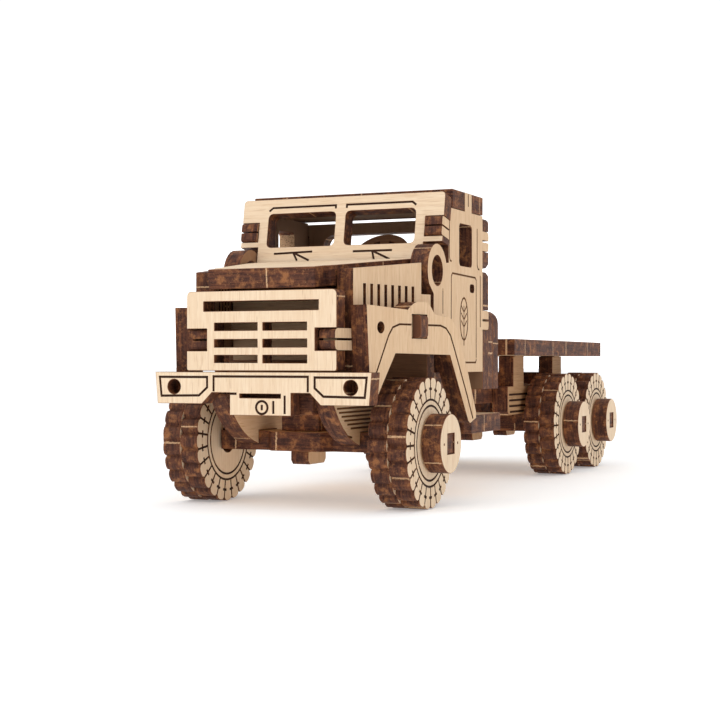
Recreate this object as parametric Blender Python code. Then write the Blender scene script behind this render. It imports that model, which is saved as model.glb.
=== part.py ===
"""Plywood jigsaw model of a six-wheel flatbed truck, built plate by plate.

Every piece is a flat plate cut from one sheet of plywood. The front of the truck
faces -Y, its left side +X, and Z is up. Dimensions below are in millimetres.
"""
import bpy
from math import cos, pi, radians, sin, tan
from mathutils import Matrix, Vector

MM = 0.001
PLY = 3.0                  # thickness of the plywood sheet
FIT = 0.1                  # gap left between two plates that touch

# Wheels and axles
WHEEL_RADIUS = 10.0
WHEEL_LOBES = 24
LOBE_DEPTH = 0.6
HUB_RADIUS = 4.5
BORE_RADIUS = 2.25
AXLE_SQUARE = 3.0
AXLE_Z = WHEEL_RADIUS
AXLE_Y = {"front": -46.9, "mid": 28.9, "rear": 50.8}
INNER_TYRE_X = 14.4        # inner face of the inner tyre disc
OUTER_TYRE_X = INNER_TYRE_X + PLY + FIT
HUB_X = OUTER_TYRE_X + PLY + 0.3
AXLE_SHOULDER_X = 14.0
AXLE_HALF_DEPTH = 3.0
DIFF_HALF_DEPTH = 3.2
DIFF_BOTTOM_Z = 6.4
KEY_HALF_DEPTH = 2.0
SPACER_HALF_WIDTH = 3.2

# Chassis layers, stacked on the axle plates
SPACER_Z = AXLE_Z + PLY
CHASSIS_Z = SPACER_Z + PLY
CHASSIS_TOP = CHASSIS_Z + PLY / 2
CHASSIS_HALF = 10.2
CHASSIS_NOSE_HALF = 7.1
SPRING_X = 8.7
SPRING_ARC_RADIUS = 15.1
SPRING_ARC_Z = 24.3
SPRING_NOTCH_Z = AXLE_Z + PLY / 2 + FIT
BOGIE_X = 11.8
BOGIE_FRONT_Y = 12.6
BOGIE_BACK_Y = 62.8
POST_Y = (19.4, 45.8)
POST_HALF = 3.3
POST_TENON_HALF = 2.0
STEP_Z = 12.0
STEP_HALF = 19.8
STEP_Y = (-27.4, -11.4)

# Load bed
BED_HALF = 18.2
BED_Z = 25.0
BED_Y = (1.6, 63.3)

# Front of the truck
FRONT_Y = -63.3
BUMPER_HALF = 17.9
GRILLE_HALF = 12.4
SPLAY = radians(14.0)      # bonnet sides and wings open out towards the cab
BONNET_NOSE = (13.05, -59.7)
BONNET_SLOPE = radians(6.0)
LIP_TOP = 36.1             # top of the bonnet lip above the grille
WING_OFFSET = PLY + FIT
CROSS_PLATE_Y = -47.65
CROSS_TENON = (25.9, 29.4)   # heights of the cross plate's tenon
FRONT_WALL_Y = -39.3

# Cab
CAB_OUTER = 18.1
CAB_INNER = CAB_OUTER - PLY
ROOF_Z = 48.9
CAB_REAR_Y = -15.9
RAKE = radians(10.3)       # windscreen leans back
SCREEN_FOOT = (-35.66, 41.53)
SCREEN_NOTCH = (0.92, 4.26)
RING_CENTRE = (-37.65, 36.75)
RING_RADIUS = 4.25
RING_HOLE = 2.45
WALL_Y = -14.3

BIRCH = (0.83, 0.68, 0.48)
SAND = (0.74, 0.58, 0.40)
BURNT = (0.24, 0.12, 0.07)


def clear_scene():
    """Remove whatever the file opened with."""
    for item in list(bpy.data.objects):
        bpy.data.objects.remove(item, do_unlink=True)


def material(name, colour):
    """Bare, unvarnished plywood in the given tone."""
    mat = bpy.data.materials.new(name)
    mat.use_nodes = True
    shader = mat.node_tree.nodes["Principled BSDF"]
    shader.inputs["Base Color"].default_value = (*colour, 1.0)
    shader.inputs["Roughness"].default_value = 0.75
    shader.inputs["Metallic"].default_value = 0.0
    return mat


# ---------------------------------------------------------------- outlines

def arc(centre, radius, start, end, steps):
    """Points along an arc, angles in degrees."""
    angles = [radians(start + (end - start) * i / steps) for i in range(steps + 1)]
    return [(centre[0] + radius * cos(a), centre[1] + radius * sin(a)) for a in angles]


def circle(centre, radius, steps=24):
    return arc(centre, radius, 0, 360, steps)[:-1]


def box(u0, u1, v0, v1):
    return [(u0, v0), (u1, v0), (u1, v1), (u0, v1)]


def rounded_box(u0, u1, v0, v1, radius, steps=4):
    corners = (((u1 - radius, v1 - radius), 0), ((u0 + radius, v1 - radius), 90),
               ((u0 + radius, v0 + radius), 180), ((u1 - radius, v0 + radius), 270))
    points = []
    for centre, start in corners:
        points += arc(centre, radius, start, start + 90, steps)
    return points


def mirrored(half):
    """Close an outline given for u > 0, from top to bottom, across u = 0."""
    return half + [(-u, v) for u, v in reversed(half)]


def prongs(base, tip, v0, v1, slit=0.35, soft=0.6):
    """A split tenon from base to tip along u, between v0 and v1, with rounded outer corners."""
    middle = (v0 + v1) / 2
    back = soft if base > tip else -soft
    lower = [(base, v0), (tip + back, v0), (tip + 0.3 * back, v0 + 0.3 * soft), (tip, v0 + soft)]
    upper = [(u, v0 + v1 - v) for u, v in reversed(lower)]
    return lower + [(tip, middle - slit / 2), (base, middle - slit / 2),
                    (base, middle + slit / 2), (tip, middle + slit / 2)] + upper


# ------------------------------------------------------------------ plates

FACING_FRONT = Matrix(((1, 0, 0), (0, 0, -1), (0, 1, 0)))
FACING_SIDE = Matrix(((0, 0, 1), (1, 0, 0), (0, 1, 0)))
LYING_FLAT = Matrix.Identity(3)


def splayed(side):
    """Upright plate running backwards and outwards on the given side."""
    along = Vector((side * sin(SPLAY), cos(SPLAY), 0))
    normal = along.cross(Vector((0, 0, 1)))
    return Matrix((along, Vector((0, 0, 1)), normal)).transposed()


def plate(name, outline, facing, centre, colour, holes=(), thickness=PLY):
    """Cut one plate: its outline lies in the sheet, its thickness is centred."""
    curve = bpy.data.curves.new(name, "CURVE")
    curve.dimensions = "2D"
    curve.fill_mode = "BOTH"
    curve.extrude = thickness / 2 * MM
    curve.resolution_u = 1
    for loop in (outline, *holes):
        spline = curve.splines.new("POLY")
        spline.points.add(len(loop) - 1)
        for point, (u, v) in zip(spline.points, loop):
            point.co = (u * MM, v * MM, 0, 1)
        spline.use_cyclic_u = True
    piece = bpy.data.objects.new(name, curve)
    piece.location = Vector(centre) * MM
    piece.rotation_euler = facing.to_euler()
    curve.materials.append(material(name + "_wood", colour))
    truck.objects.link(piece)
    return piece


# ------------------------------------------------------------------ wheels

def tyre_outline(turn):
    """Scalloped tread; turn shifts the lobes round by a part of one lobe."""
    points = []
    steps = 5
    pitch = 2 * pi / WHEEL_LOBES
    for i in range(WHEEL_LOBES * steps):
        phase = (i % steps) / steps
        radius = WHEEL_RADIUS - LOBE_DEPTH * (1 - sin(pi * phase)) ** 2
        angle = (i / steps + turn) * pitch
        points.append((radius * sin(angle), radius * cos(angle)))
    return points


def build_wheel(axle, side, label):
    """Two tyre discs that turn on the square axle end, and the hub that keeps them on."""
    x_outer = side * (OUTER_TYRE_X + PLY / 2)
    x_inner = side * (INNER_TYRE_X + PLY / 2)
    bore = circle((0, 0), BORE_RADIUS)
    y = AXLE_Y[axle]
    plate(f"tyre_outer_{label}", tyre_outline(0.0), FACING_SIDE, (x_outer, y, AXLE_Z), BIRCH, [bore])
    plate(f"tyre_inner_{label}", tyre_outline(0.5), FACING_SIDE, (x_inner, y, AXLE_Z), SAND, [bore])
    half = AXLE_SQUARE / 2 + FIT / 2
    plate(f"hub_{label}", circle((0, 0), HUB_RADIUS, 36), FACING_SIDE,
          (side * (HUB_X + PLY / 2), y, AXLE_Z), BIRCH, [box(-half, half, -half, half)])


def build_axle(axle):
    """Flat axle plate with square ends, its spacer and the differential key below."""
    y = AXLE_Y[axle]
    tip = HUB_X + PLY - 0.2
    square = AXLE_SQUARE / 2
    bulge = 1.6 if axle == "front" else 0.0
    right = [(4.2, -AXLE_HALF_DEPTH - bulge), (5.6, -AXLE_HALF_DEPTH)] if bulge else []
    right += [(AXLE_SHOULDER_X, -AXLE_HALF_DEPTH), (AXLE_SHOULDER_X, -square), (tip, -square),
              (tip, square), (AXLE_SHOULDER_X, square), (AXLE_SHOULDER_X, AXLE_HALF_DEPTH)]
    outline = right + [(-u, v) for u, v in reversed(right)]
    slot = box(-PLY / 2 - FIT / 2, PLY / 2 + FIT / 2,
               -KEY_HALF_DEPTH - FIT / 2, KEY_HALF_DEPTH + FIT / 2)
    plate(f"axle_{axle}", outline, LYING_FLAT, (0, y, AXLE_Z), BURNT, [slot])
    spacer = box(-SPACER_HALF_WIDTH, SPACER_HALF_WIDTH, -AXLE_HALF_DEPTH, AXLE_HALF_DEPTH)
    plate(f"axle_spacer_{axle}", spacer, LYING_FLAT, (0, y, SPACER_Z), BURNT, [slot],
          thickness=PLY - 2 * FIT)
    head = AXLE_Z - PLY / 2 - FIT
    key = mirrored([(KEY_HALF_DEPTH, CHASSIS_TOP), (KEY_HALF_DEPTH, head), (DIFF_HALF_DEPTH, head),
                    (DIFF_HALF_DEPTH, DIFF_BOTTOM_Z + 0.6), (DIFF_HALF_DEPTH - 0.6, DIFF_BOTTOM_Z)])
    plate(f"differential_{axle}", key, FACING_SIDE, (0, y, 0), BURNT)


# ----------------------------------------------------------------- chassis

def build_chassis():
    """Long base plate; it narrows between the front springs."""
    front, back = FRONT_Y + PLY + FIT, BED_Y[1] - 0.5
    neck = AXLE_Y["front"] + 13.6
    outline = mirrored([(CHASSIS_HALF, back), (CHASSIS_HALF, neck),
                        (CHASSIS_NOSE_HALF, neck), (CHASSIS_NOSE_HALF, front)])
    key = PLY / 2 + FIT / 2
    depth = KEY_HALF_DEPTH + FIT / 2
    slots = [box(-key, key, y - depth, y + depth) for y in AXLE_Y.values()]
    middle = sum(STEP_Y) / 2
    slots.append(box(-key, key, middle - depth, middle + depth))
    plate("chassis_plate", outline, LYING_FLAT, (0, 0, CHASSIS_Z), BURNT, slots)


def build_front_springs():
    """Bow-shaped leaf springs that straddle the front axle plate."""
    top = CHASSIS_TOP
    y = AXLE_Y["front"]
    notch = AXLE_HALF_DEPTH + FIT
    drop = -90
    reach = 62.0
    bow = arc((0, SPRING_ARC_Z), SPRING_ARC_RADIUS, drop - reach, drop + reach, 20)
    left = [p for p in bow if p[0] < -notch]
    right = [p for p in bow if p[0] > notch]
    foot = SPRING_ARC_Z - (SPRING_ARC_RADIUS ** 2 - notch ** 2) ** 0.5
    saddle = [(-notch, foot), (-notch, SPRING_NOTCH_Z), (notch, SPRING_NOTCH_Z), (notch, foot)]
    outline = [(left[0][0], top)] + left + saddle + right + [(right[-1][0], top)]
    for side, label in ((1, "left"), (-1, "right")):
        plate(f"front_spring_{label}", outline, FACING_SIDE, (side * SPRING_X, y, 0), SAND)


def build_bogie_sides():
    """Rear spring plates that sit on both rear axles; their posts carry the bed."""
    notch = AXLE_HALF_DEPTH + FIT
    low, rail = 8.6, CHASSIS_TOP + FIT
    bed_low = BED_Z - PLY / 2 - FIT
    bed_top = BED_Z + PLY / 2
    mid, back = AXLE_Y["mid"], AXLE_Y["rear"]
    jaw, shelf = 10.1, 12.1
    outline = [(BOGIE_FRONT_Y, rail), (BOGIE_FRONT_Y, shelf + 0.7), (BOGIE_FRONT_Y + 0.7, shelf),
               (mid - notch - 1.4, shelf), (mid - notch - 1.4, jaw), (mid - notch, jaw),
               (mid - notch, SPRING_NOTCH_Z), (mid + notch, SPRING_NOTCH_Z), (mid + notch, low),
               (back - notch, low), (back - notch, SPRING_NOTCH_Z), (back + notch, SPRING_NOTCH_Z),
               (back + notch, jaw), (back + notch + 1.4, jaw), (back + notch + 1.4, shelf),
               (BOGIE_BACK_Y - 0.7, shelf), (BOGIE_BACK_Y, shelf + 0.7), (BOGIE_BACK_Y, rail)]
    for y in reversed(POST_Y):
        outline += [(y + POST_HALF, rail), (y + POST_HALF, bed_low), (y + POST_TENON_HALF, bed_low),
                    (y + POST_TENON_HALF, bed_top), (y - POST_TENON_HALF, bed_top),
                    (y - POST_TENON_HALF, bed_low), (y - POST_HALF, bed_low), (y - POST_HALF, rail)]
    for side, label in ((1, "left"), (-1, "right")):
        plate(f"bogie_side_{label}", outline, FACING_SIDE, (side * BOGIE_X, 0, 0), SAND)


def build_bed():
    """Load bed with slots for the posts, and the two cross plates under it."""
    half = PLY / 2 + FIT / 2
    depth = POST_TENON_HALF + FIT / 2
    slots = [box(side * BOGIE_X - half, side * BOGIE_X + half, y - depth, y + depth)
             for y in POST_Y for side in (1, -1)]
    plate("bed_platform", box(-BED_HALF, BED_HALF, *BED_Y), LYING_FLAT, (0, 0, BED_Z), BURNT, slots)
    width = BOGIE_X - PLY / 2 - FIT
    for y, label in zip(POST_Y, ("front", "rear")):
        plate(f"bed_cross_plate_{label}", box(-width, width, CHASSIS_TOP + FIT, 20.1),
              FACING_FRONT, (0, y, 0), SAND)


def build_steps():
    """Step plate below the doors, hung from the chassis by a key."""
    key = PLY / 2 + FIT / 2
    depth = KEY_HALF_DEPTH + FIT / 2
    middle = sum(STEP_Y) / 2
    slot = box(-key, key, middle - depth, middle + depth)
    outline = mirrored([(STEP_HALF, STEP_Y[1]), (STEP_HALF, STEP_Y[0] + 1.0),
                        (STEP_HALF - 1.0, STEP_Y[0])])
    plate("step_plate", outline, LYING_FLAT, (0, 0, STEP_Z), BURNT, [slot])
    head = STEP_Z - PLY / 2 - FIT
    top = CHASSIS_TOP
    key_outline = mirrored([(KEY_HALF_DEPTH, top), (KEY_HALF_DEPTH, head),
                            (DIFF_HALF_DEPTH, head), (DIFF_HALF_DEPTH, head - 1.2)])
    plate("step_key", key_outline, FACING_SIDE, (0, middle, 0), BURNT)


# --------------------------------------------------------------- front end

def build_bumper():
    """Bumper with lamp holes and the tow plate that hangs from its middle."""
    half = mirrored([(BUMPER_HALF, 20.8), (17.5, 16.05), (9.8, 16.05), (8.1, 17.75),
                     (5.05, 17.75), (5.05, 14.4)])
    holes = [circle((side * 14.6, 18.6), 1.13, 20) for side in (1, -1)]
    holes.append(box(-3.4, 3.4, 17.0, 17.6))
    plate("bumper", half, FACING_FRONT, (0, FRONT_Y + PLY / 2, 0), BIRCH, holes)


def build_grille():
    """Radiator grille; the notches at its sides grip the bonnet sides' prongs."""
    top, bottom, soft = 32.85, 21.0, 0.7
    corner = arc((GRILLE_HALF - soft, top - soft), soft, 90, 0, 4)
    right = corner + [(GRILLE_HALF, 27.25), (8.95, 27.25), (8.95, 23.95), (GRILLE_HALF, 23.95)]
    right += arc((GRILLE_HALF - 0.3, bottom + 0.3), 0.3, 0, -90, 2)
    slots = [box(-9.5, 9.5, 29.85, 31.3)]
    for low, high in ((26.95, 28.1), (24.45, 25.65), (22.15, 23.3)):
        slots += [box(-7.65, -0.45, low, high), box(0.45, 7.65, low, high)]
    plate("grille", mirrored(right), FACING_FRONT, (0, FRONT_Y + PLY / 2, 0), BIRCH, slots)


def splayed_centre(side, offset):
    """Middle of a splayed plate's sheet; offset pushes it out from the bonnet side."""
    nose = Vector((BONNET_NOSE[0], BONNET_NOSE[1], 0))
    outward = Vector((cos(SPLAY), -sin(SPLAY), 0))
    point = nose + outward * (offset - PLY / 2)
    return (side * point.x, point.y, 0)


def build_bonnet_sides():
    """Splayed bonnet sides with louvres and split tenons for the grille."""
    tenon_tip = -3.7
    outline = [(0.5, 21.0)] + prongs(0.5, tenon_tip, 24.0, 27.2)
    outline += [(0.5, 36.0), (17.6, 37.7), (17.6, 32.8), (20.1, 32.8), (20.1, 24.2),
                (6.5, 24.2), (4.0, 21.0)]
    louvres = [box(s - 0.35, s + 0.35, 30.0, 33.9) for s in (3.2 + 1.74 * i for i in range(8))]
    slot = [cross_slot(0.0)]
    for side, label in ((1, "left"), (-1, "right")):
        plate(f"bonnet_side_{label}", outline, splayed(side), splayed_centre(side, 0.0), BIRCH,
              louvres + slot)


def cross_slot(offset):
    """Opening in a splayed plate for the cross plate's tenon."""
    middle = (CROSS_PLATE_Y - BONNET_NOSE[1] + (offset - PLY / 2) * sin(SPLAY)) / cos(SPLAY)
    half = PLY / 2 / cos(SPLAY) + PLY / 2 * tan(SPLAY) + FIT
    return box(middle - half, middle + half, CROSS_TENON[0] - FIT, CROSS_TENON[1] + FIT)


def wing_outline():
    """Mudguard with an arched opening over the wheel and a dome over the tenon."""
    dome = [(9.8, 30.1), (10.3, 30.5), (11.3, 31.1), (12.2, 31.35), (14.2, 31.4), (15.0, 31.25),
            (15.8, 30.7), (16.7, 29.7)]
    points = [(0.35, 17.6), (0.35, 20.8), (-0.3, 30.6)] + dome
    points += [(17.3, 29.5), (19.3, 29.3)] + arc((19.3, 25.5), 4.0, 75, 20, 4)
    points += [(25.8, 21.1), (28.3, 14.3), (28.3, 13.4), (26.6, 12.6), (26.1, 13.0)]
    points += [(21.0, 23.4), (6.7, 23.6), (2.5, 17.6)]
    return points


def build_wings():
    """Left and right mudguards, outside the bonnet sides and the doors."""
    hole = circle((3.1, 27.35), 0.9, 16)
    for side, label in ((1, "left"), (-1, "right")):
        plate(f"wing_{label}", wing_outline(), splayed(side), splayed_centre(side, WING_OFFSET),
              BIRCH, [hole, cross_slot(WING_OFFSET)])


def build_cross_plate():
    """Bulkhead whose round-cornered tenons pass through bonnet sides and mudguards."""
    shift = CROSS_PLATE_Y - BONNET_NOSE[1]
    outer = BONNET_NOSE[0] + shift * tan(SPLAY)
    body = outer - PLY / cos(SPLAY) - PLY / 2 * tan(SPLAY) - 0.3
    tip = outer + (PLY + FIT) / cos(SPLAY) + 0.6
    low, high = CROSS_TENON
    soft = 0.6
    tenon = arc((tip - soft, high - soft), soft, 90, 0, 4) + arc((tip - soft, low + soft), soft, 0, -90, 4)
    outline = mirrored([(body, 33.5), (body, high)] + tenon + [(body, low), (body, 22.5)])
    plate("wing_cross_plate", outline, FACING_FRONT, (0, CROSS_PLATE_Y, 0), SAND)


def build_bonnet_top():
    """Sloping bonnet lid between the splayed sides, with a lip above the grille."""
    inner = BONNET_NOSE[0] - PLY / cos(SPLAY) - 0.25
    spread = tan(SPLAY)
    nose = BONNET_NOSE[1]
    lip = 8.8
    right = [(14.7, -36.8), (14.7, nose + (14.7 - inner) / spread), (inner, nose),
             (lip, nose), (lip, FRONT_Y + 0.2)]
    slope = cos(BONNET_SLOPE)
    outline = [(u, (v - FRONT_Y) / slope) for u, v in mirrored(right)]
    lean = Matrix.Rotation(BONNET_SLOPE, 3, "X")
    plate("bonnet_top", outline, lean, (0, FRONT_Y, LIP_TOP - PLY / 2), BIRCH)


# --------------------------------------------------------------------- cab

def build_windscreen():
    """Raked windscreen frame; its side notches take the cab sides' prongs."""
    wide, narrow = CAB_OUTER + 0.1, CAB_INNER - 0.2
    stretch = 1 / cos(RAKE)
    top, sill = 8.1 * stretch, 0.0
    right = arc((wide - 0.6, top - 0.6), 0.6, 90, 0, 3)
    low, high = SCREEN_NOTCH
    right += [(wide, high), (CAB_INNER - 0.1, high), (CAB_INNER - 0.1, low), (wide, low),
              (wide, sill), (narrow, sill), (narrow, -4.2)]
    panes = []
    for side in (1, -1):
        u0, u1 = sorted((side * 0.9, side * 13.3))
        panes.append(rounded_box(u0, u1, -0.1, 5.7, 0.8))
    lean = Matrix.Rotation(-RAKE, 3, "X") @ FACING_FRONT
    y, z = SCREEN_FOOT
    centre = (0, y + PLY / 2 * cos(RAKE), z - PLY / 2 * sin(RAKE))
    plate("windscreen", mirrored(right), lean, centre, BIRCH, panes)


def on_screen(depth, height):
    """Side view of a point behind the windscreen's face and above its foot."""
    y, z = SCREEN_FOOT
    return (y + depth * cos(RAKE) + height * sin(RAKE), z - depth * sin(RAKE) + height * cos(RAKE))


def cab_side_outline():
    """Door side with a lamp ring, prongs for windscreen and rear wall, and a roof tab."""
    behind = PLY + FIT
    edge_at = lambda z: on_screen(behind, (z - SCREEN_FOOT[1] + behind * sin(RAKE)) / cos(RAKE))
    rear, tenon = CAB_REAR_Y, WALL_Y + PLY / 2 + 0.1
    points = [(rear, 20.6)]
    points += prongs(rear, tenon, 27.8, 31.1)
    points += prongs(rear, tenon, 41.3, 44.7)
    points += [(rear, 47.25), (-21.5, 47.25), (-21.5, 50.4), (-23.0, 50.4), (-23.0, 48.2),
               (-23.3, 48.2), (-23.3, 50.4), (-24.9, 50.4), (-24.9, 47.25), edge_at(47.25)]
    split = prongs(behind, -0.4, SCREEN_NOTCH[0] + FIT, SCREEN_NOTCH[1] - FIT, 0.25, 0.4)
    points += [on_screen(depth, height) for depth, height in reversed(split)]
    points += [edge_at(41.4), (edge_at(41.4)[0], 38.3)]
    points += arc(RING_CENTRE, RING_RADIUS, 20, 212, 14)
    points += [(-39.3, 33.0), (-39.3, 27.0), (-34.0, 23.6), (-31.8, 20.6)]
    return points


def build_cab_sides():
    """Cab sides with window, ring and door-pull opening."""
    holes = [rounded_box(-27.6, -21.4, 38.1, 45.1, 0.7), circle(RING_CENTRE, RING_HOLE, 28),
             rounded_box(-22.4, -20.2, 33.9, 35.3, 0.55)]
    for side, label in ((1, "left"), (-1, "right")):
        plate(f"cab_side_{label}", cab_side_outline(), FACING_SIDE,
              (side * (CAB_OUTER - PLY / 2), 0, 0), BIRCH, holes)


def build_roof():
    """Roof plate, notched at the sides for the cab sides' tabs."""
    front, rear = -30.7, -15.8
    half = CAB_OUTER
    notch = CAB_INNER - 0.1
    right = [(half, rear), (half, -21.4), (notch, -21.4), (notch, -25.0), (half, -25.0), (half, front)]
    plate("roof", mirrored(right), LYING_FLAT, (0, 0, ROOF_Z), BIRCH)


def build_rear_wall():
    """Cab back with its window, notched for the cab sides' split tenons."""
    half = CAB_OUTER
    notch = CAB_INNER - 0.1
    right = arc((half - 0.8, 46.2), 0.8, 90, 0, 3)
    right += [(half, 44.8), (notch, 44.8), (notch, 41.2), (half, 41.2), (half, 39.2),
              (half - 0.5, 38.5), (half - 2.0, 38.4), (half - 2.0, 37.9), (half - 0.5, 37.8), (half, 37.1),
              (half, 31.2), (notch, 31.2), (notch, 27.7), (half, 27.7), (half, CHASSIS_TOP + FIT)]
    window = rounded_box(-12.2, 12.2, 39.4, 45.0, 2.0)
    plate("cab_rear_wall", mirrored(right), FACING_FRONT, (0, WALL_Y, 0), SAND, [window])


def build_back_plates():
    """Two plates with rounded shoulders stacked behind the cab."""
    half, top, soft = CAB_OUTER - 0.35, 31.3, 2.2
    right = arc((half - soft, top - soft), soft, 90, 0, 5) + [(half, CHASSIS_TOP + FIT)]
    for i, label in enumerate(("inner", "outer")):
        y = WALL_Y + (i + 1) * (PLY + FIT) + 0.15
        plate(f"back_plate_{label}", mirrored(right), FACING_FRONT, (0, y, 0), SAND)


def build_cab_inside():
    """Wall in front of the cab, cab floor, steering column and steering wheel."""
    low = CHASSIS_TOP + FIT
    half = CAB_INNER - FIT
    wall = mirrored([(14.3, 35.2), (14.3, 23.9), (17.6, 23.9), (17.6, 18.8), (14.0, 18.8), (14.0, low)])
    plate("cab_front_wall", wall, FACING_FRONT, (0, FRONT_WALL_Y, 0), SAND)
    plate("cab_floor", box(-half, half, -37.6, CAB_REAR_Y), LYING_FLAT, (0, 0, low + PLY / 2), SAND)
    column_x, tilt = 4.8, radians(50.0)
    hub = Vector((0, -29.2, 39.35))
    rim = circle((0, 0), 5.2, 36)
    gaps = [arc((0, 0), 3.7, a + 14, a + 106, 6) + arc((0, 0), 1.7, a + 96, a + 24, 3)
            for a in (-30, 90, 210)]
    lean = Matrix.Rotation(-tilt, 3, "X")
    plate("steering_wheel", rim, lean.inverted(), (column_x, hub.y, hub.z), SAND, gaps,
          thickness=1.5)
    floor = low + PLY + FIT
    down = Vector((0, sin(tilt), -cos(tilt)))
    across = Vector((0, cos(tilt), sin(tilt)))
    head = hub + down * (0.75 + FIT)
    a, b = head - across * 1.3, head + across * 1.3
    outline = [(a.y, a.z), (-31.6, floor), (-26.6, floor), (b.y, b.z)]
    plate("steering_column", outline, FACING_SIDE, (column_x, 0, 0), SAND)


def build_truck():
    for axle in AXLE_Y:
        build_axle(axle)
        build_wheel(axle, 1, f"{axle}_left")
        build_wheel(axle, -1, f"{axle}_right")
    build_chassis()
    build_front_springs()
    build_bogie_sides()
    build_bed()
    build_steps()
    build_bumper()
    build_grille()
    build_bonnet_sides()
    build_wings()
    build_cross_plate()
    build_bonnet_top()
    build_windscreen()
    build_cab_sides()
    build_roof()
    build_rear_wall()
    build_back_plates()
    build_cab_inside()


clear_scene()
truck = bpy.data.collections.new("jigsaw_truck")
bpy.context.scene.collection.children.link(truck)
build_truck()
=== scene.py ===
from math import cos, pi, radians, sin

import bmesh
import bpy
from mathutils import Matrix, Vector


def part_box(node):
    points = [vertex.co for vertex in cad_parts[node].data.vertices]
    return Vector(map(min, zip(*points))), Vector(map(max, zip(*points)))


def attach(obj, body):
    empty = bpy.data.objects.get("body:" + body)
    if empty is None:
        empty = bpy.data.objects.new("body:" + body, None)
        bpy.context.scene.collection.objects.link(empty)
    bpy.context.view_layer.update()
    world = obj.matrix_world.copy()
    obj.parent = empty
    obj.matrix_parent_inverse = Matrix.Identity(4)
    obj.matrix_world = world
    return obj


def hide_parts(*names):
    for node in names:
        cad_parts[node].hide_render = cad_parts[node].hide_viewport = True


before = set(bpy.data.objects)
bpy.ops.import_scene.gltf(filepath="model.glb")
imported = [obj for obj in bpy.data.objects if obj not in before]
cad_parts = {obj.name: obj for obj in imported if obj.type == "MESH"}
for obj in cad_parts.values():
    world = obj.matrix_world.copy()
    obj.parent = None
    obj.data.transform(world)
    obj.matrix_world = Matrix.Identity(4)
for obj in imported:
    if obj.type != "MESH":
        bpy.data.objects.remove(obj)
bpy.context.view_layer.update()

MM = 0.001
PLY = 3.0                  # thickness of the sheet
WELD = 0.002               # vertices nearer than this are one
FLAT = radians(0.5)        # faces nearer to level than this are merged
CREASE = radians(50)       # edges sharper than this are eased
RIM = 0.07                 # how far the rims of the plates are eased
LINE = 0.36                # width of an engraved line
DEPTH = 0.16               # depth of an engraved line
MID_DEPTH = DEPTH * 0.9    # lines that cross others are cut to a depth of their own
SHALLOW_DEPTH = DEPTH * 0.8
PROUD = 0.5                # how far an engraving tool stands out of the sheet
MITRE_LIMIT = 0.45         # keeps the corners of sharply turning lines short
SPLAY_NOSE = (13.05, -59.7)        # front end of the left bonnet side's outer face
SCREEN_FOOT = (0, -35.66, 41.53)   # where the windscreen's engravings are measured from
FRONT_AXLE_Y = -46.9

# Studio: overall level, then each soft region's direction, start, full and added level,
# then each lamp's name, place, size and power
AMBIENT = 0.32
SOFTBOXES = (((0, 0, 1), 0.35, 0.65, 0.6), ((0, 0, 1), 0.14, 0.06, 0.6),
             ((-0.404, 0.915, 0.0), 0.83, 0.92, 0.75))
LAMPS = (("key", (-0.30, -0.62, 0.50), 0.8, 2.2), ("fill", (0.62, -0.25, 0.40), 0.8, 0.9))
LAMP_TARGET = Vector((0.0, -0.002, 0.025))
FLOOR_SIZE = 8.0
CAMERA_PLACE = (0.1006, -0.2547, 0.0224)
CAMERA_TURN = (radians(90.05), 0, radians(23.83))
FOCAL_LENGTH, SENSOR_WIDTH = 73.44, 36.0      # millimetres
CLIP_START, CLIP_END = 0.01, 50.0


# ------------------------------------------------------------ shader nodes

class Tree:
    """Short calls for building one material's node tree."""

    def __init__(self, name):
        self.material = bpy.data.materials.new(name)
        self.material.use_nodes = True
        self.nodes = self.material.node_tree.nodes
        self.links = self.material.node_tree.links
        self.shader = self.nodes["Principled BSDF"]

    def add(self, kind, inputs=(), **settings):
        node = self.nodes.new(kind)
        for key, value in settings.items():
            setattr(node, key, value)
        for socket, value in dict(inputs).items():
            self.put(value, node.inputs[socket])
        return node

    def put(self, value, socket):
        if isinstance(value, bpy.types.NodeSocket):
            self.links.new(value, socket)
        else:
            socket.default_value = value

    def math(self, operation, a, b=0.0, c=0.0):
        node = self.add("ShaderNodeMath", {0: a, 1: b, 2: c}, operation=operation)
        return node.outputs[0]

    def vector(self, operation, a, b=(0, 0, 0)):
        return self.add("ShaderNodeVectorMath", {0: a, 1: b}, operation=operation).outputs[0]

    def blend(self, amount, a, b):
        node = self.add("ShaderNodeMix", data_type="RGBA")
        for socket, value in ((node.inputs[0], amount), (node.inputs[6], a), (node.inputs[7], b)):
            self.put(value, socket)
        return node.outputs[2]

    def noise(self, where, scale=1.0, detail=2.0, roughness=0.5):
        inputs = {"Vector": where, "Scale": scale, "Detail": detail, "Roughness": roughness}
        return self.add("ShaderNodeTexNoise", inputs).outputs["Fac"]

    def between(self, value, low, high):
        """0 where value is at low or under, 1 where it is at high or over, smooth between."""
        node = self.add("ShaderNodeMapRange", {0: value, 1: low, 2: high},
                        interpolation_type="SMOOTHSTEP")
        return node.outputs[0]

    def tint(self, base, shade, field, low, high, strength):
        """Mix shade over base as field goes from low to high, at most by strength."""
        amount = self.math("MULTIPLY", self.between(field, low, high), strength)
        return self.blend(amount, base, shade)


def colour(r, g, b):
    """A linear colour from an everyday 0-255 one, by the sRGB curve."""
    linear = [(c / 255 / 12.92) if c < 11 else ((c / 255 + 0.055) / 1.055) ** 2.4
              for c in (r, g, b)]
    return (*linear, 1.0)


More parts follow.
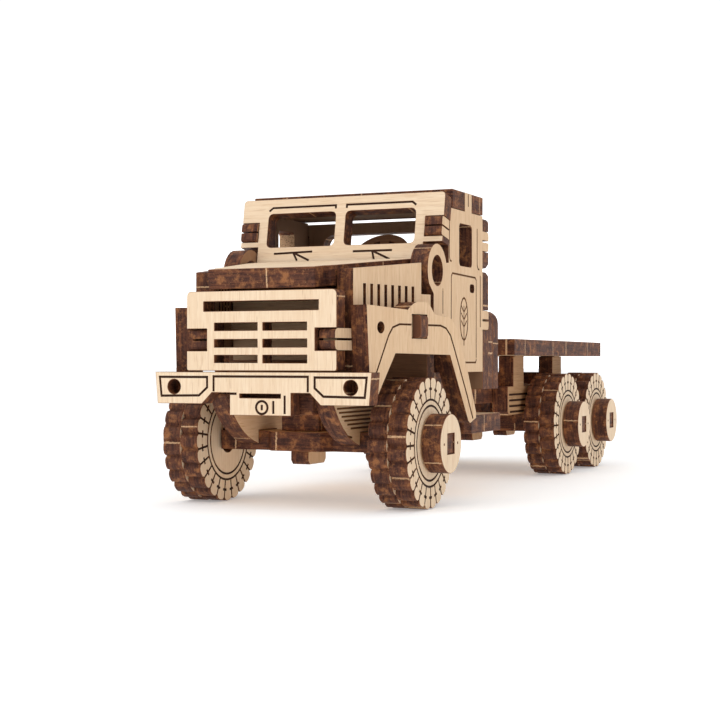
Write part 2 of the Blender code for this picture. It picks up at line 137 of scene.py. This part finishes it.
def plywood(name, face, grain, half=PLY / 2, slot_shade_from=None, shaded_side=0):
    """Bare plywood seen from its own sheet: veneer on the faces, burnt plies on the edges.

    half is half the sheet's thickness. The next argument is how far from the middle the ends turn
    brown, as painted shade of the slots they sit in.
    The last argument is the side, 1 or -1, that is browned all over: a faint laser scorch on the
    back, deepened into painted shade for the faces turned into the truck.
    """
    tree = Tree(name)
    coords = tree.add("ShaderNodeTexCoord").outputs["Object"]
    seed = tree.add("ShaderNodeObjectInfo").outputs["Random"]
    sheet = tree.vector("SCALE", coords)
    sheet.node.inputs["Scale"].default_value = 1 / MM
    across = tree.add("ShaderNodeSeparateXYZ", {0: sheet}).outputs[2]
    depth = tree.math("ABSOLUTE", across)
    offset = tree.add("ShaderNodeCombineXYZ", {0: tree.math("MULTIPLY", seed, 310.0),
                                               1: tree.math("MULTIPLY", seed, 170.0)}).outputs[0]
    place = tree.vector("ADD", sheet, offset)
    normal = tree.add("ShaderNodeNewGeometry").outputs["Normal"]
    local = tree.add("ShaderNodeVectorTransform", {0: normal}, vector_type="NORMAL",
                     convert_from="WORLD", convert_to="OBJECT").outputs[0]
    facing = tree.math("ABSOLUTE", tree.add("ShaderNodeSeparateXYZ", {0: local}).outputs[2])

    # veneer: long fibres, a slow figure and a few dark pores
    run = (1.0, 0.05, 1.0) if grain == "up" else (0.05, 1.0, 1.0)
    fibre_place = tree.vector("MULTIPLY", place, run)
    fibres = tree.noise(fibre_place, 3.2, 4.0, 0.62)
    figure = tree.noise(fibre_place, 0.42, 3.0, 0.5)
    mottle = tree.noise(place, 0.9, 3.0, 0.6)
    pale, dark, pore, line = face
    veneer = tree.blend(tree.between(fibres, 0.30, 0.72), pale, dark)
    veneer = tree.tint(veneer, dark, figure, 0.42, 0.66, 0.4)
    veneer = tree.tint(veneer, dark, mottle, 0.5, 0.75, 0.3)
    fine_place = tree.vector("MULTIPLY", place, tuple(3.0 * r for r in run))
    dashes = tree.noise(fine_place, 2.3, 1.0, 0.4)
    veneer = tree.tint(veneer, pore, dashes, 0.62, 0.72, 0.35)
    # Painted shade: the face turned into the truck is browned all over, well past the faint real
    # back-side scorch, for the shade inside the truck.
    if shaded_side:
        shaded_back = tree.math("GREATER_THAN", tree.math("MULTIPLY", across, float(shaded_side)), 0.0)
        veneer = tree.blend(tree.math("MULTIPLY", shaded_back, 0.8), veneer, colour(128, 88, 62))
    # Painted shade: the faces near the plate's ends are browned where they sit in the wing slots.
    if slot_shade_from:
        reach = tree.math("ABSOLUTE", tree.add("ShaderNodeSeparateXYZ", {0: sheet}).outputs[0])
        slot_shade = tree.between(reach, slot_shade_from - 0.2, slot_shade_from + 0.1)
        veneer = tree.blend(slot_shade, veneer, colour(104, 66, 46))

    # cut edge: plies that run along it, burnt blotches, specks, and pale slivers across it
    outline = tree.vector("MULTIPLY", place, (1.0, 1.0, 0.0))
    wobble = tree.noise(place, 1.6, 2.0, 0.5)
    band = tree.math("ADD", depth, tree.math("MULTIPLY", tree.math("SUBTRACT", wobble, 0.5), 0.4))
    core = tree.between(band, 0.70 * half / (PLY / 2), 0.34 * half / (PLY / 2))
    streaks = tree.noise(tree.vector("MULTIPLY", place, (0.25, 0.25, 3.4)), 1.0, 4.0, 0.6)
    patches = tree.noise(place, 0.62, 5.0, 0.72)
    grit = tree.noise(place, 4.5, 4.0, 0.8)
    edge = tree.blend(tree.between(streaks, 0.34, 0.66), colour(62, 34, 27), colour(114, 69, 47))
    edge = tree.blend(tree.math("MULTIPLY", core, 0.5), edge, colour(70, 43, 37))
    edge = tree.tint(edge, colour(158, 104, 64), patches, 0.49, 0.66, 0.85)
    edge = tree.tint(edge, colour(42, 24, 22), patches, 0.47, 0.32, 0.7)
    specks = tree.math("MULTIPLY_ADD", core, -0.4, 0.75)
    edge = tree.tint(edge, colour(176, 130, 92), grit, 0.57, 0.72, specks)
    edge = tree.tint(edge, colour(44, 25, 22), grit, 0.44, 0.30, 0.5)
    jag = tree.add("ShaderNodeCombineXYZ", {0: tree.math("MULTIPLY", wobble, 0.25),
                                            1: tree.math("MULTIPLY", wobble, -0.2)}).outputs[0]
    ragged = tree.vector("ADD", outline, jag)
    cells = tree.add("ShaderNodeTexVoronoi", {"Vector": ragged, "Scale": 0.05},
                     feature="DISTANCE_TO_EDGE", voronoi_dimensions="2D").outputs["Distance"]
    edge = tree.tint(edge, colour(212, 172, 132), cells, 0.007, 0.003,
                     tree.between(grit, 0.36, 0.50))

    # Groove floors are charred, and the eased rims carry a thin scorched line. Facing is
    # 1 on a face, 0 on a cut edge and about 0.7 on an eased rim.
    sunk = tree.math("LESS_THAN", depth, half - 0.04)
    char = tree.blend(streaks, *line)
    flat = tree.blend(sunk, veneer, char)
    rim = tree.blend(tree.math("LESS_THAN", facing, 0.5), colour(126, 80, 52), edge)
    is_face = tree.math("GREATER_THAN", facing, 0.86)
    tree.put(tree.blend(is_face, rim, flat), tree.shader.inputs["Base Color"])

    rough = tree.math("MULTIPLY_ADD", fibres, 0.16, 0.56)
    edge_shine = tree.math("MULTIPLY", tree.math("SUBTRACT", 1.0, is_face), 0.10)
    tree.put(tree.math("SUBTRACT", rough, edge_shine), tree.shader.inputs["Roughness"])
    edge_relief = tree.math("ADD", streaks, grit)
    face_relief = tree.math("MULTIPLY", fibres, 0.5)
    relief = tree.add("ShaderNodeMix", {0: is_face, 2: edge_relief, 3: face_relief},
                      data_type="FLOAT")
    bump = tree.add("ShaderNodeBump", {"Height": relief.outputs[0], "Strength": 0.45,
                                       "Distance": 0.05 * MM})
    tree.put(bump.outputs[0], tree.shader.inputs["Normal"])
    tree.shader.inputs["Specular IOR Level"].default_value = 0.16
    return tree.material


# Veneer, its darker fibres, its pores, and the two tones of an engraved line
CREAM = (colour(240, 217, 188), colour(229, 201, 168), colour(186, 144, 104),
         (colour(46, 27, 18), colour(74, 46, 30)))
# Painted shade: the next palette is the cream made darker for plates that face the sides, the
# back or the ground, which stand in less light than the front.
SHADED_TAN = (colour(228, 197, 162), colour(215, 180, 143), colour(170, 126, 88),
       (colour(92, 56, 30), colour(128, 86, 48)))
SCORED = SHADED_TAN[:3] + ((colour(62, 36, 20), colour(94, 58, 32)),)
# Painted shade: a darker tan for the bogie sides, which stand in the shade of the bed.
UNDER_BED_SHADE = (colour(190, 152, 114), colour(170, 130, 94), colour(124, 86, 58), CREAM[3])
# Painted shade: a still darker tan for the parts inside the cab, where little light gets in.
INTERIOR_SHADE = (colour(150, 108, 78), colour(126, 88, 62), colour(90, 60, 42), CREAM[3])
WOODS = {
    "cream_up": plywood("birch_cream_upright", CREAM, "up"),
    "cream_along": plywood("birch_cream_lengthwise", CREAM, "along"),
    # These woods carry painted shade on the face turned into the truck.
    "cream_up_shaded_inside": plywood("birch_cream_upright_smoked_back", CREAM, "up", shaded_side=-1),
    "cream_along_shaded_inside": plywood("birch_cream_lengthwise_smoked_back", CREAM, "along", shaded_side=-1),
    "shaded_tan_up": plywood("birch_tan_upright", SHADED_TAN, "up"),
    "shaded_tan_along": plywood("birch_tan_lengthwise", SHADED_TAN, "along"),
    "left_shaded_inside": plywood("birch_tan_smoked_inside_left", SHADED_TAN, "up", shaded_side=-1),
    "right_shaded_inside": plywood("birch_tan_smoked_inside_right", SHADED_TAN, "up", shaded_side=1),
    "scored": plywood("birch_tan_deep_scored", SCORED, "up"),
    "under_bed_shaded": plywood("birch_dusky", UNDER_BED_SHADE, "along"),
    "interior_shaded": plywood("birch_smoky", INTERIOR_SHADE, "along"),
    "slot_shaded_ends": plywood("birch_scorched_ends", SHADED_TAN, "along", slot_shade_from=18.5),
    "spacer": plywood("birch_spacer", SHADED_TAN, "along", 1.4),
    "thin": plywood("birch_thin_smoky", INTERIOR_SHADE, "along", 0.75),
}


# ----------------------------------------------------------- cutting plates

def sheet_axes(mesh):
    """Directions along the sheet, up the sheet and across its thickness."""
    normals = {tuple(round(c, 4) for c in face.normal): face.normal.copy()
               for face in mesh.polygons}

    def extent(direction):
        levels = [vertex.co.dot(direction) for vertex in mesh.vertices]
        return max(levels) - min(levels)

    across = min(normals.values(), key=extent).normalized()
    lead = max(range(3), key=lambda i: abs(across[i]))
    if (across[lead] > 0) == (lead == 1):
        across = -across
    if abs(across.z) > 0.9:
        up = across.cross(Vector((1, 0, 0))).normalized()
        along = up.cross(across)
    else:
        along = Vector((0, 0, 1)).cross(across).normalized()
        up = across.cross(along)
    return along, up, across


def board(node, wood, anchor=(0, 0, 0), body="truck"):
    """Recut one plate from its node. Its own x and y lie in the sheet, measured from anchor."""
    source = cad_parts[node].data
    along, up, across = sheet_axes(source)
    levels = [vertex.co.dot(across) for vertex in source.vertices]
    middle = (max(levels) + min(levels)) / 2
    base = Vector(anchor) * MM
    base += across * (middle - base.dot(across))
    place = Matrix.Translation(base) @ Matrix((along, up, across)).transposed().to_4x4()
    mesh = source.copy()
    mesh.name = node + "_sheet"
    mesh.transform(Matrix.Scale(1 / MM, 4) @ place.inverted())
    plan = bmesh.new()
    plan.from_mesh(mesh)
    bmesh.ops.remove_doubles(plan, verts=plan.verts, dist=WELD)
    bmesh.ops.dissolve_limit(plan, verts=plan.verts, edges=plan.edges, angle_limit=FLAT)
    bmesh.ops.recalc_face_normals(plan, faces=plan.faces)
    plan.to_mesh(mesh)
    plan.free()
    mesh.materials.clear()
    mesh.materials.append(WOODS[wood])
    piece = bpy.data.objects.new(node + "_plate", mesh)
    bpy.context.scene.collection.objects.link(piece)
    eased = piece.modifiers.new("rim", "BEVEL")
    eased.width = RIM
    eased.segments = 1
    eased.limit_method = "ANGLE"
    eased.angle_limit = CREASE
    settle(piece)
    piece["place"] = [value for row in place for value in row]
    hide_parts(node)
    piece["body"] = body
    return piece


def settle(piece):
    """Turn the piece's modifiers into mesh."""
    bpy.context.view_layer.update()
    evaluated = piece.evaluated_get(bpy.context.evaluated_depsgraph_get())
    mesh = bpy.data.meshes.new_from_object(evaluated)
    old = piece.data
    piece.modifiers.clear()
    piece.data = mesh
    mesh.name = old.name
    bpy.data.meshes.remove(old)


def stroke(cutter, points, closed, width, low, high):
    """Add the solid swept along a drawn line to the cutter."""
    count = len(points)
    rings = []
    for i, point in enumerate(points):
        here = Vector(point)
        before = Vector(points[i - 1]) if closed or i else None
        after = Vector(points[(i + 1) % count]) if closed or i < count - 1 else None
        directions = [d.normalized() for d in (here - before if before else None,
                                               after - here if after else None) if d is not None]
        along = sum(directions, Vector((0, 0))).normalized()
        stretch = 1 / max(MITRE_LIMIT, along.dot(directions[0]))
        side = Vector((-along.y, along.x)) * width / 2 * stretch
        corners = [(here + side, low), (here - side, low),
                   (here - side, high), (here + side, high)]
        rings.append([cutter.verts.new((p.x, p.y, z)) for p, z in corners])
    pairs = list(zip(rings, rings[1:])) + ([(rings[-1], rings[0])] if closed else [])
    for a, b in pairs:
        for i in range(4):
            j = (i + 1) % 4
            cutter.faces.new((a[i], a[j], b[j], b[i]))
    if not closed:
        cutter.faces.new(rings[0][::-1])
        cutter.faces.new(rings[-1])


def engrave(piece, lines, side=1, width=LINE, depth=DEPTH):
    """Cut lines, each (points, closed), into the plate's outer (side 1) or inner (-1) face."""
    cutter_mesh = bpy.data.meshes.new("cutter")
    cutter = bmesh.new()
    low, high = sorted((side * (PLY / 2 - depth), side * (PLY / 2 + PROUD)))
    for points, closed in lines:
        stroke(cutter, points, closed, width, low, high)
    bmesh.ops.recalc_face_normals(cutter, faces=cutter.faces)
    cutter.to_mesh(cutter_mesh)
    cutter.free()
    tool = bpy.data.objects.new("cutter", cutter_mesh)
    bpy.context.scene.collection.objects.link(tool)
    cut = piece.modifiers.new("engraving", "BOOLEAN")
    cut.operation = "DIFFERENCE"
    cut.solver = "MANIFOLD"
    cut.object = tool
    settle(piece)
    bpy.data.objects.remove(tool)
    bpy.data.meshes.remove(cutter_mesh)


def finish_board(piece):
    """Put the plate back where it belongs and let it ride on its body."""
    values = list(piece["place"])
    piece.data.transform(Matrix.Scale(MM, 4))
    piece.matrix_world = Matrix([values[i:i + 4] for i in (0, 4, 8, 12)])
    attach(piece, piece["body"])


def ring(centre, radius, steps):
    angles = [2 * pi * i / steps for i in range(steps)]
    return [(centre[0] + radius * cos(a), centre[1] + radius * sin(a)) for a in angles], True


def open_line(*points):
    return list(points), False


def loop(*points):
    return list(points), True


def level_line(middle, reach, height):
    return open_line((middle - reach, height), (middle + reach, height))


def mirrored(lines):
    return lines + [([(-u, v) for u, v in points], closed) for points, closed in lines]


# -------------------------------------------------------------- engravings

LAMP_FRAME = loop((17.1, 20.05), (8.9, 20.05), (8.9, 18.5), (10.3, 17.3), (16.8, 17.2))
BUMPER_LINES = mirrored([LAMP_FRAME]) + [
    open_line((-7.8, 17.9), (-7.8, 20.15), (7.8, 20.15), (7.8, 17.9)),
    open_line((2.2, 16.6), (2.2, 14.7)), open_line((4.05, 17.4), (4.05, 14.7)),
    open_line((-5.0, 17.6), (-3.9, 17.6)), ring((0.3, 15.6), 0.95, 20),
    open_line((0.3, 16.0), (0.3, 15.2))]

# On the windscreen: across, and up the raked sheet. Each wiper is a blade and two arms.
VISOR_LINES = mirrored([open_line((1.0, 6.2), (1.0, 6.75), (12.6, 6.75), (13.3, 6.2))])
WIPER_LINES = [open_line((-11.8, -1.2), (-4.7, -1.0)), open_line((-8.2, -1.1), (-7.4, -2.5)),
               open_line((-8.2, -1.1), (-5.2, -2.5)),
               open_line((2.65, -1.2), (9.6, -1.2)), open_line((6.1, -1.2), (6.5, -2.7)),
               open_line((6.1, -1.2), (9.3, -2.7))]

# On the cab side: distance along the truck, and height
DOOR_LINES = [open_line((-31.4, 29.0), (-31.3, 36.2), (-30.8, 36.7), (-19.7, 36.5), (-19.2, 36.1),
                        (-19.2, 22.6), (-19.5, 22.2), (-25.5, 22.2)),
              open_line((-35.2, 34.0), (-35.2, 30.0)), open_line((-17.1, 28.2), (-17.1, 37.0)),
              open_line((-32.2, 46.0), (-32.2, 39.3), (-31.9, 38.7), (-31.2, 38.6)),
              open_line((-18.7, 44.9), (-18.7, 38.7), (-18.3, 38.1), (-17.6, 38.0))]

# On the mudguard: distance along its sheet from the nose, and height
WING_LINES = [open_line((1.9, 20.5), (5.0, 26.2), (6.0, 27.4), (7.7, 27.9), (10.9, 27.9)),
              open_line((14.7, 27.9), (18.4, 27.9), (19.9, 27.5), (21.1, 26.4), (22.2, 24.3),
                        (25.6, 17.3), (27.4, 13.3))]


LEAF_CENTRE, LEAF_HEIGHT = (-25.3, 29.4), 7.0

# On the tyre discs: radii, and half the angle of a tick
LOBES = 24
TYRE_RINGS = (6.6, 5.67)
TREAD_ENDS = (6.78, 9.96)
TICK_RADIUS, TICK_ANGLE = 8.25, 0.07
HUB_DOT_AT, HUB_DOT_RADIUS = 2.9, 0.12

# On the springs: half lengths and heights of their leaves
FRONT_LEAVES = [(reach, 12.3 + 0.62 * k)
                for k, reach in enumerate((6.6, 7.8, 8.9, 9.9, 10.8, 11.5))]
REAR_MIDDLE = 39.85
REAR_LEAVES = [(6.3, 9.5), (6.3, 10.4), (6.3, 11.4), (25.9, 12.7), (26.4, 13.8),
               (26.4, 14.9), (26.4, 16.0)]


def leaf(centre, height):
    """A plain leaf, in place of any badge: its rim, its middle vein and its side veins."""
    cx, cz = centre
    half = height / 2
    wide = height * 0.27
    rim = [(cx + wide * sin(pi * i / 8), cz + half * cos(pi * i / 8)) for i in range(9)]
    rim += [(2 * cx - u, v) for u, v in reversed(rim[1:-1])]
    stem = open_line((cx, cz - half * 1.25), (cx, cz + half * 0.62))
    veins = []
    for k in (-0.35, 0.0, 0.35):
        start, end = cz + k * half, cz + (k + 0.28) * half
        veins += [open_line((cx + s * 0.22, start), (cx + s * wide * 0.7, end)) for s in (1, -1)]
    return [(rim, True)], [stem], veins


def polar(radius, angle):
    return radius * sin(angle), radius * cos(angle)


def tyre_lines(turn):
    """Two rings and a tread line at every lobe, then the cross ticks on the tread lines."""
    rings = [ring((0, 0), radius, 48) for radius in TYRE_RINGS]
    rays, ticks = [], []
    for i in range(LOBES):
        a = 2 * pi * (i + turn) / LOBES
        rays.append(open_line(*[polar(radius, a) for radius in TREAD_ENDS]))
        ticks.append(open_line(*[polar(TICK_RADIUS, a + d) for d in (-TICK_ANGLE, TICK_ANGLE)]))
    return rings + rays, ticks


def spring_lines():
    """Leaves of the front spring, drawn on its flat side above its seat on the axle."""
    leaves = [level_line(0, reach, height) for reach, height in FRONT_LEAVES]
    return leaves + [open_line((side * 9.4, 11.5), (side * 6.0, 10.9)) for side in (1, -1)]


def bogie_lines():
    """Leaves of the rear springs, drawn along the plate between the axles."""
    return [level_line(REAR_MIDDLE, reach, height) for reach, height in REAR_LEAVES]


# ------------------------------------------------------------------- truck

# Plates without engravings, and their woods
PLAIN = {
    "grille": "cream_up_shaded_inside", "bonnet_top": "cream_up_shaded_inside", "roof": "cream_along_shaded_inside",
    "chassis_plate": "shaded_tan_up", "bed_platform": "shaded_tan_up",
    "bed_cross_plate_front": "cream_along", "bed_cross_plate_rear": "cream_along",
    "step_plate": "shaded_tan_along", "step_key": "shaded_tan_up", "wing_cross_plate": "slot_shaded_ends",
    "cab_rear_wall": "right_shaded_inside", "back_plate_inner": "shaded_tan_up", "back_plate_outer": "shaded_tan_up",
    # The cab's inner parts take the darkest wood: painted shade inside the cab.
    "cab_front_wall": "interior_shaded", "cab_floor": "interior_shaded", "steering_column": "interior_shaded",
}


def build_axles():
    for axle in ("front", "mid", "rear"):
        finish_board(board(f"axle_{axle}", "shaded_tan_along"))
        finish_board(board(f"axle_spacer_{axle}", "spacer"))
        finish_board(board(f"differential_{axle}", "shaded_tan_up"))
        for side, sign in (("left", 1), ("right", -1)):
            build_wheel(axle, side, sign)


def build_wheel(axle, side, sign):
    label = f"{axle}_{side}"
    low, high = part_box(f"hub_{label}")
    centre = (low + high) / 2 / MM
    for layer, turn, outward in (("outer", 0.0, sign), ("inner", 0.5, -sign)):
        disc = board(f"tyre_{layer}_{label}", "cream_up", centre, body=f"wheel_{label}")
        main, ticks = tyre_lines(turn)
        engrave(disc, main, outward, width=0.34)
        engrave(disc, ticks, outward, width=0.4, depth=MID_DEPTH)
        finish_board(disc)
    hub = board(f"hub_{label}", "cream_up", centre)
    dots = [ring((u, 0.0), HUB_DOT_RADIUS, 10) for u in (-HUB_DOT_AT, HUB_DOT_AT)]
    engrave(hub, dots, sign, width=0.2)
    finish_board(hub)


def build_front():
    bumper = board("bumper", "cream_up")
    engrave(bumper, BUMPER_LINES)
    finish_board(bumper)
    screen = board("windscreen", "cream_along_shaded_inside", SCREEN_FOOT)
    engrave(screen, VISOR_LINES)
    for first, depth in enumerate((DEPTH, MID_DEPTH, SHALLOW_DEPTH)):
        engrave(screen, WIPER_LINES[first::3], depth=depth)
    finish_board(screen)


def build_sides():
    for side, sign in (("left", 1), ("right", -1)):
        nose = (sign * SPLAY_NOSE[0], SPLAY_NOSE[1], 0)
        finish_board(board(f"bonnet_side_{side}", f"{side}_shaded_inside", nose))
        wing = board(f"wing_{side}", "scored", nose)
        engrave(wing, WING_LINES, sign, width=0.3)
        finish_board(wing)
        door = board(f"cab_side_{side}", f"{side}_shaded_inside")
        engrave(door, DOOR_LINES, sign, width=0.3)
        rim, stem, veins = leaf(LEAF_CENTRE, LEAF_HEIGHT)
        engrave(door, rim, sign, width=0.34)
        engrave(door, stem, sign, width=0.32, depth=MID_DEPTH)
        engrave(door, veins, sign, width=0.28, depth=SHALLOW_DEPTH)
        finish_board(door)
        spring = board(f"front_spring_{side}", "shaded_tan_along", (0, FRONT_AXLE_Y, 0))
        engrave(spring, spring_lines(), sign, width=0.3)
        finish_board(spring)
        # The bogie side's darker wood is painted shade from the bed above it.
        bogie = board(f"bogie_side_{side}", "under_bed_shaded")
        engrave(bogie, bogie_lines(), sign, width=0.42)
        finish_board(bogie)


def build_truck():
    build_axles()
    build_front()
    build_sides()
    for node, wood in PLAIN.items():
        finish_board(board(node, wood))
    finish_board(board("steering_wheel", "thin"))


# ------------------------------------------------------------------- stage

def studio_world():
    """Dim studio with a bright overhead softbox and a white backdrop behind the truck."""
    world = bpy.data.worlds.new("studio")
    world.use_nodes = True
    nodes, links = world.node_tree.nodes, world.node_tree.links
    direction = nodes.new("ShaderNodeTexCoord").outputs["Generated"]
    level = AMBIENT
    for axis, start, stop, strength in SOFTBOXES:
        aim = nodes.new("ShaderNodeVectorMath")
        aim.operation = "DOT_PRODUCT"
        links.new(direction, aim.inputs[0])
        aim.inputs[1].default_value = axis
        lit = nodes.new("ShaderNodeMapRange")
        lit.interpolation_type = "SMOOTHSTEP"
        links.new(aim.outputs["Value"], lit.inputs[0])
        for socket, value in ((1, start), (2, stop), (3, 0.0), (4, strength)):
            lit.inputs[socket].default_value = value
        total = nodes.new("ShaderNodeMath")
        links.new(lit.outputs[0], total.inputs[0])
        if isinstance(level, float):
            total.inputs[1].default_value = level
        else:
            links.new(level, total.inputs[1])
        level = total.outputs[0]
    links.new(level, nodes["Background"].inputs["Strength"])
    nodes["Background"].inputs[0].default_value = (1, 1, 1, 1)
    return world


def build_stage():
    """White floor, soft light from the front left and above, and the camera."""
    bpy.context.scene.world = studio_world()
    bpy.ops.mesh.primitive_plane_add(size=FLOOR_SIZE, location=(0, 0, 0))
    floor = bpy.context.object
    floor.name = "floor"
    tree = Tree("floor_white")
    tree.shader.inputs["Base Color"].default_value = (0.97, 0.97, 0.97, 1)
    tree.shader.inputs["Roughness"].default_value = 0.9
    tree.shader.inputs["Specular IOR Level"].default_value = 0.1
    tree.shader.inputs["Emission Color"].default_value = (1, 1, 1, 1)
    tree.shader.inputs["Emission Strength"].default_value = 0.25
    floor.data.materials.append(tree.material)
    for name, spot, size, power in LAMPS:
        lamp = bpy.data.lights.new(name, "AREA")
        lamp.size = size
        lamp.energy = power
        light = bpy.data.objects.new(name, lamp)
        light.location = spot
        light.rotation_euler = (LAMP_TARGET - Vector(spot)).to_track_quat("-Z", "Y").to_euler()
        bpy.context.scene.collection.objects.link(light)
    lens = bpy.data.cameras.new("camera")
    lens.lens = FOCAL_LENGTH
    lens.sensor_width = SENSOR_WIDTH
    lens.clip_start = CLIP_START
    lens.clip_end = CLIP_END
    camera = bpy.data.objects.new("camera", lens)
    camera.location = CAMERA_PLACE
    camera.rotation_euler = CAMERA_TURN
    bpy.context.scene.collection.objects.link(camera)
    bpy.context.scene.camera = camera
    bpy.context.scene.view_settings.view_transform = "Standard"


build_truck()
build_stage()
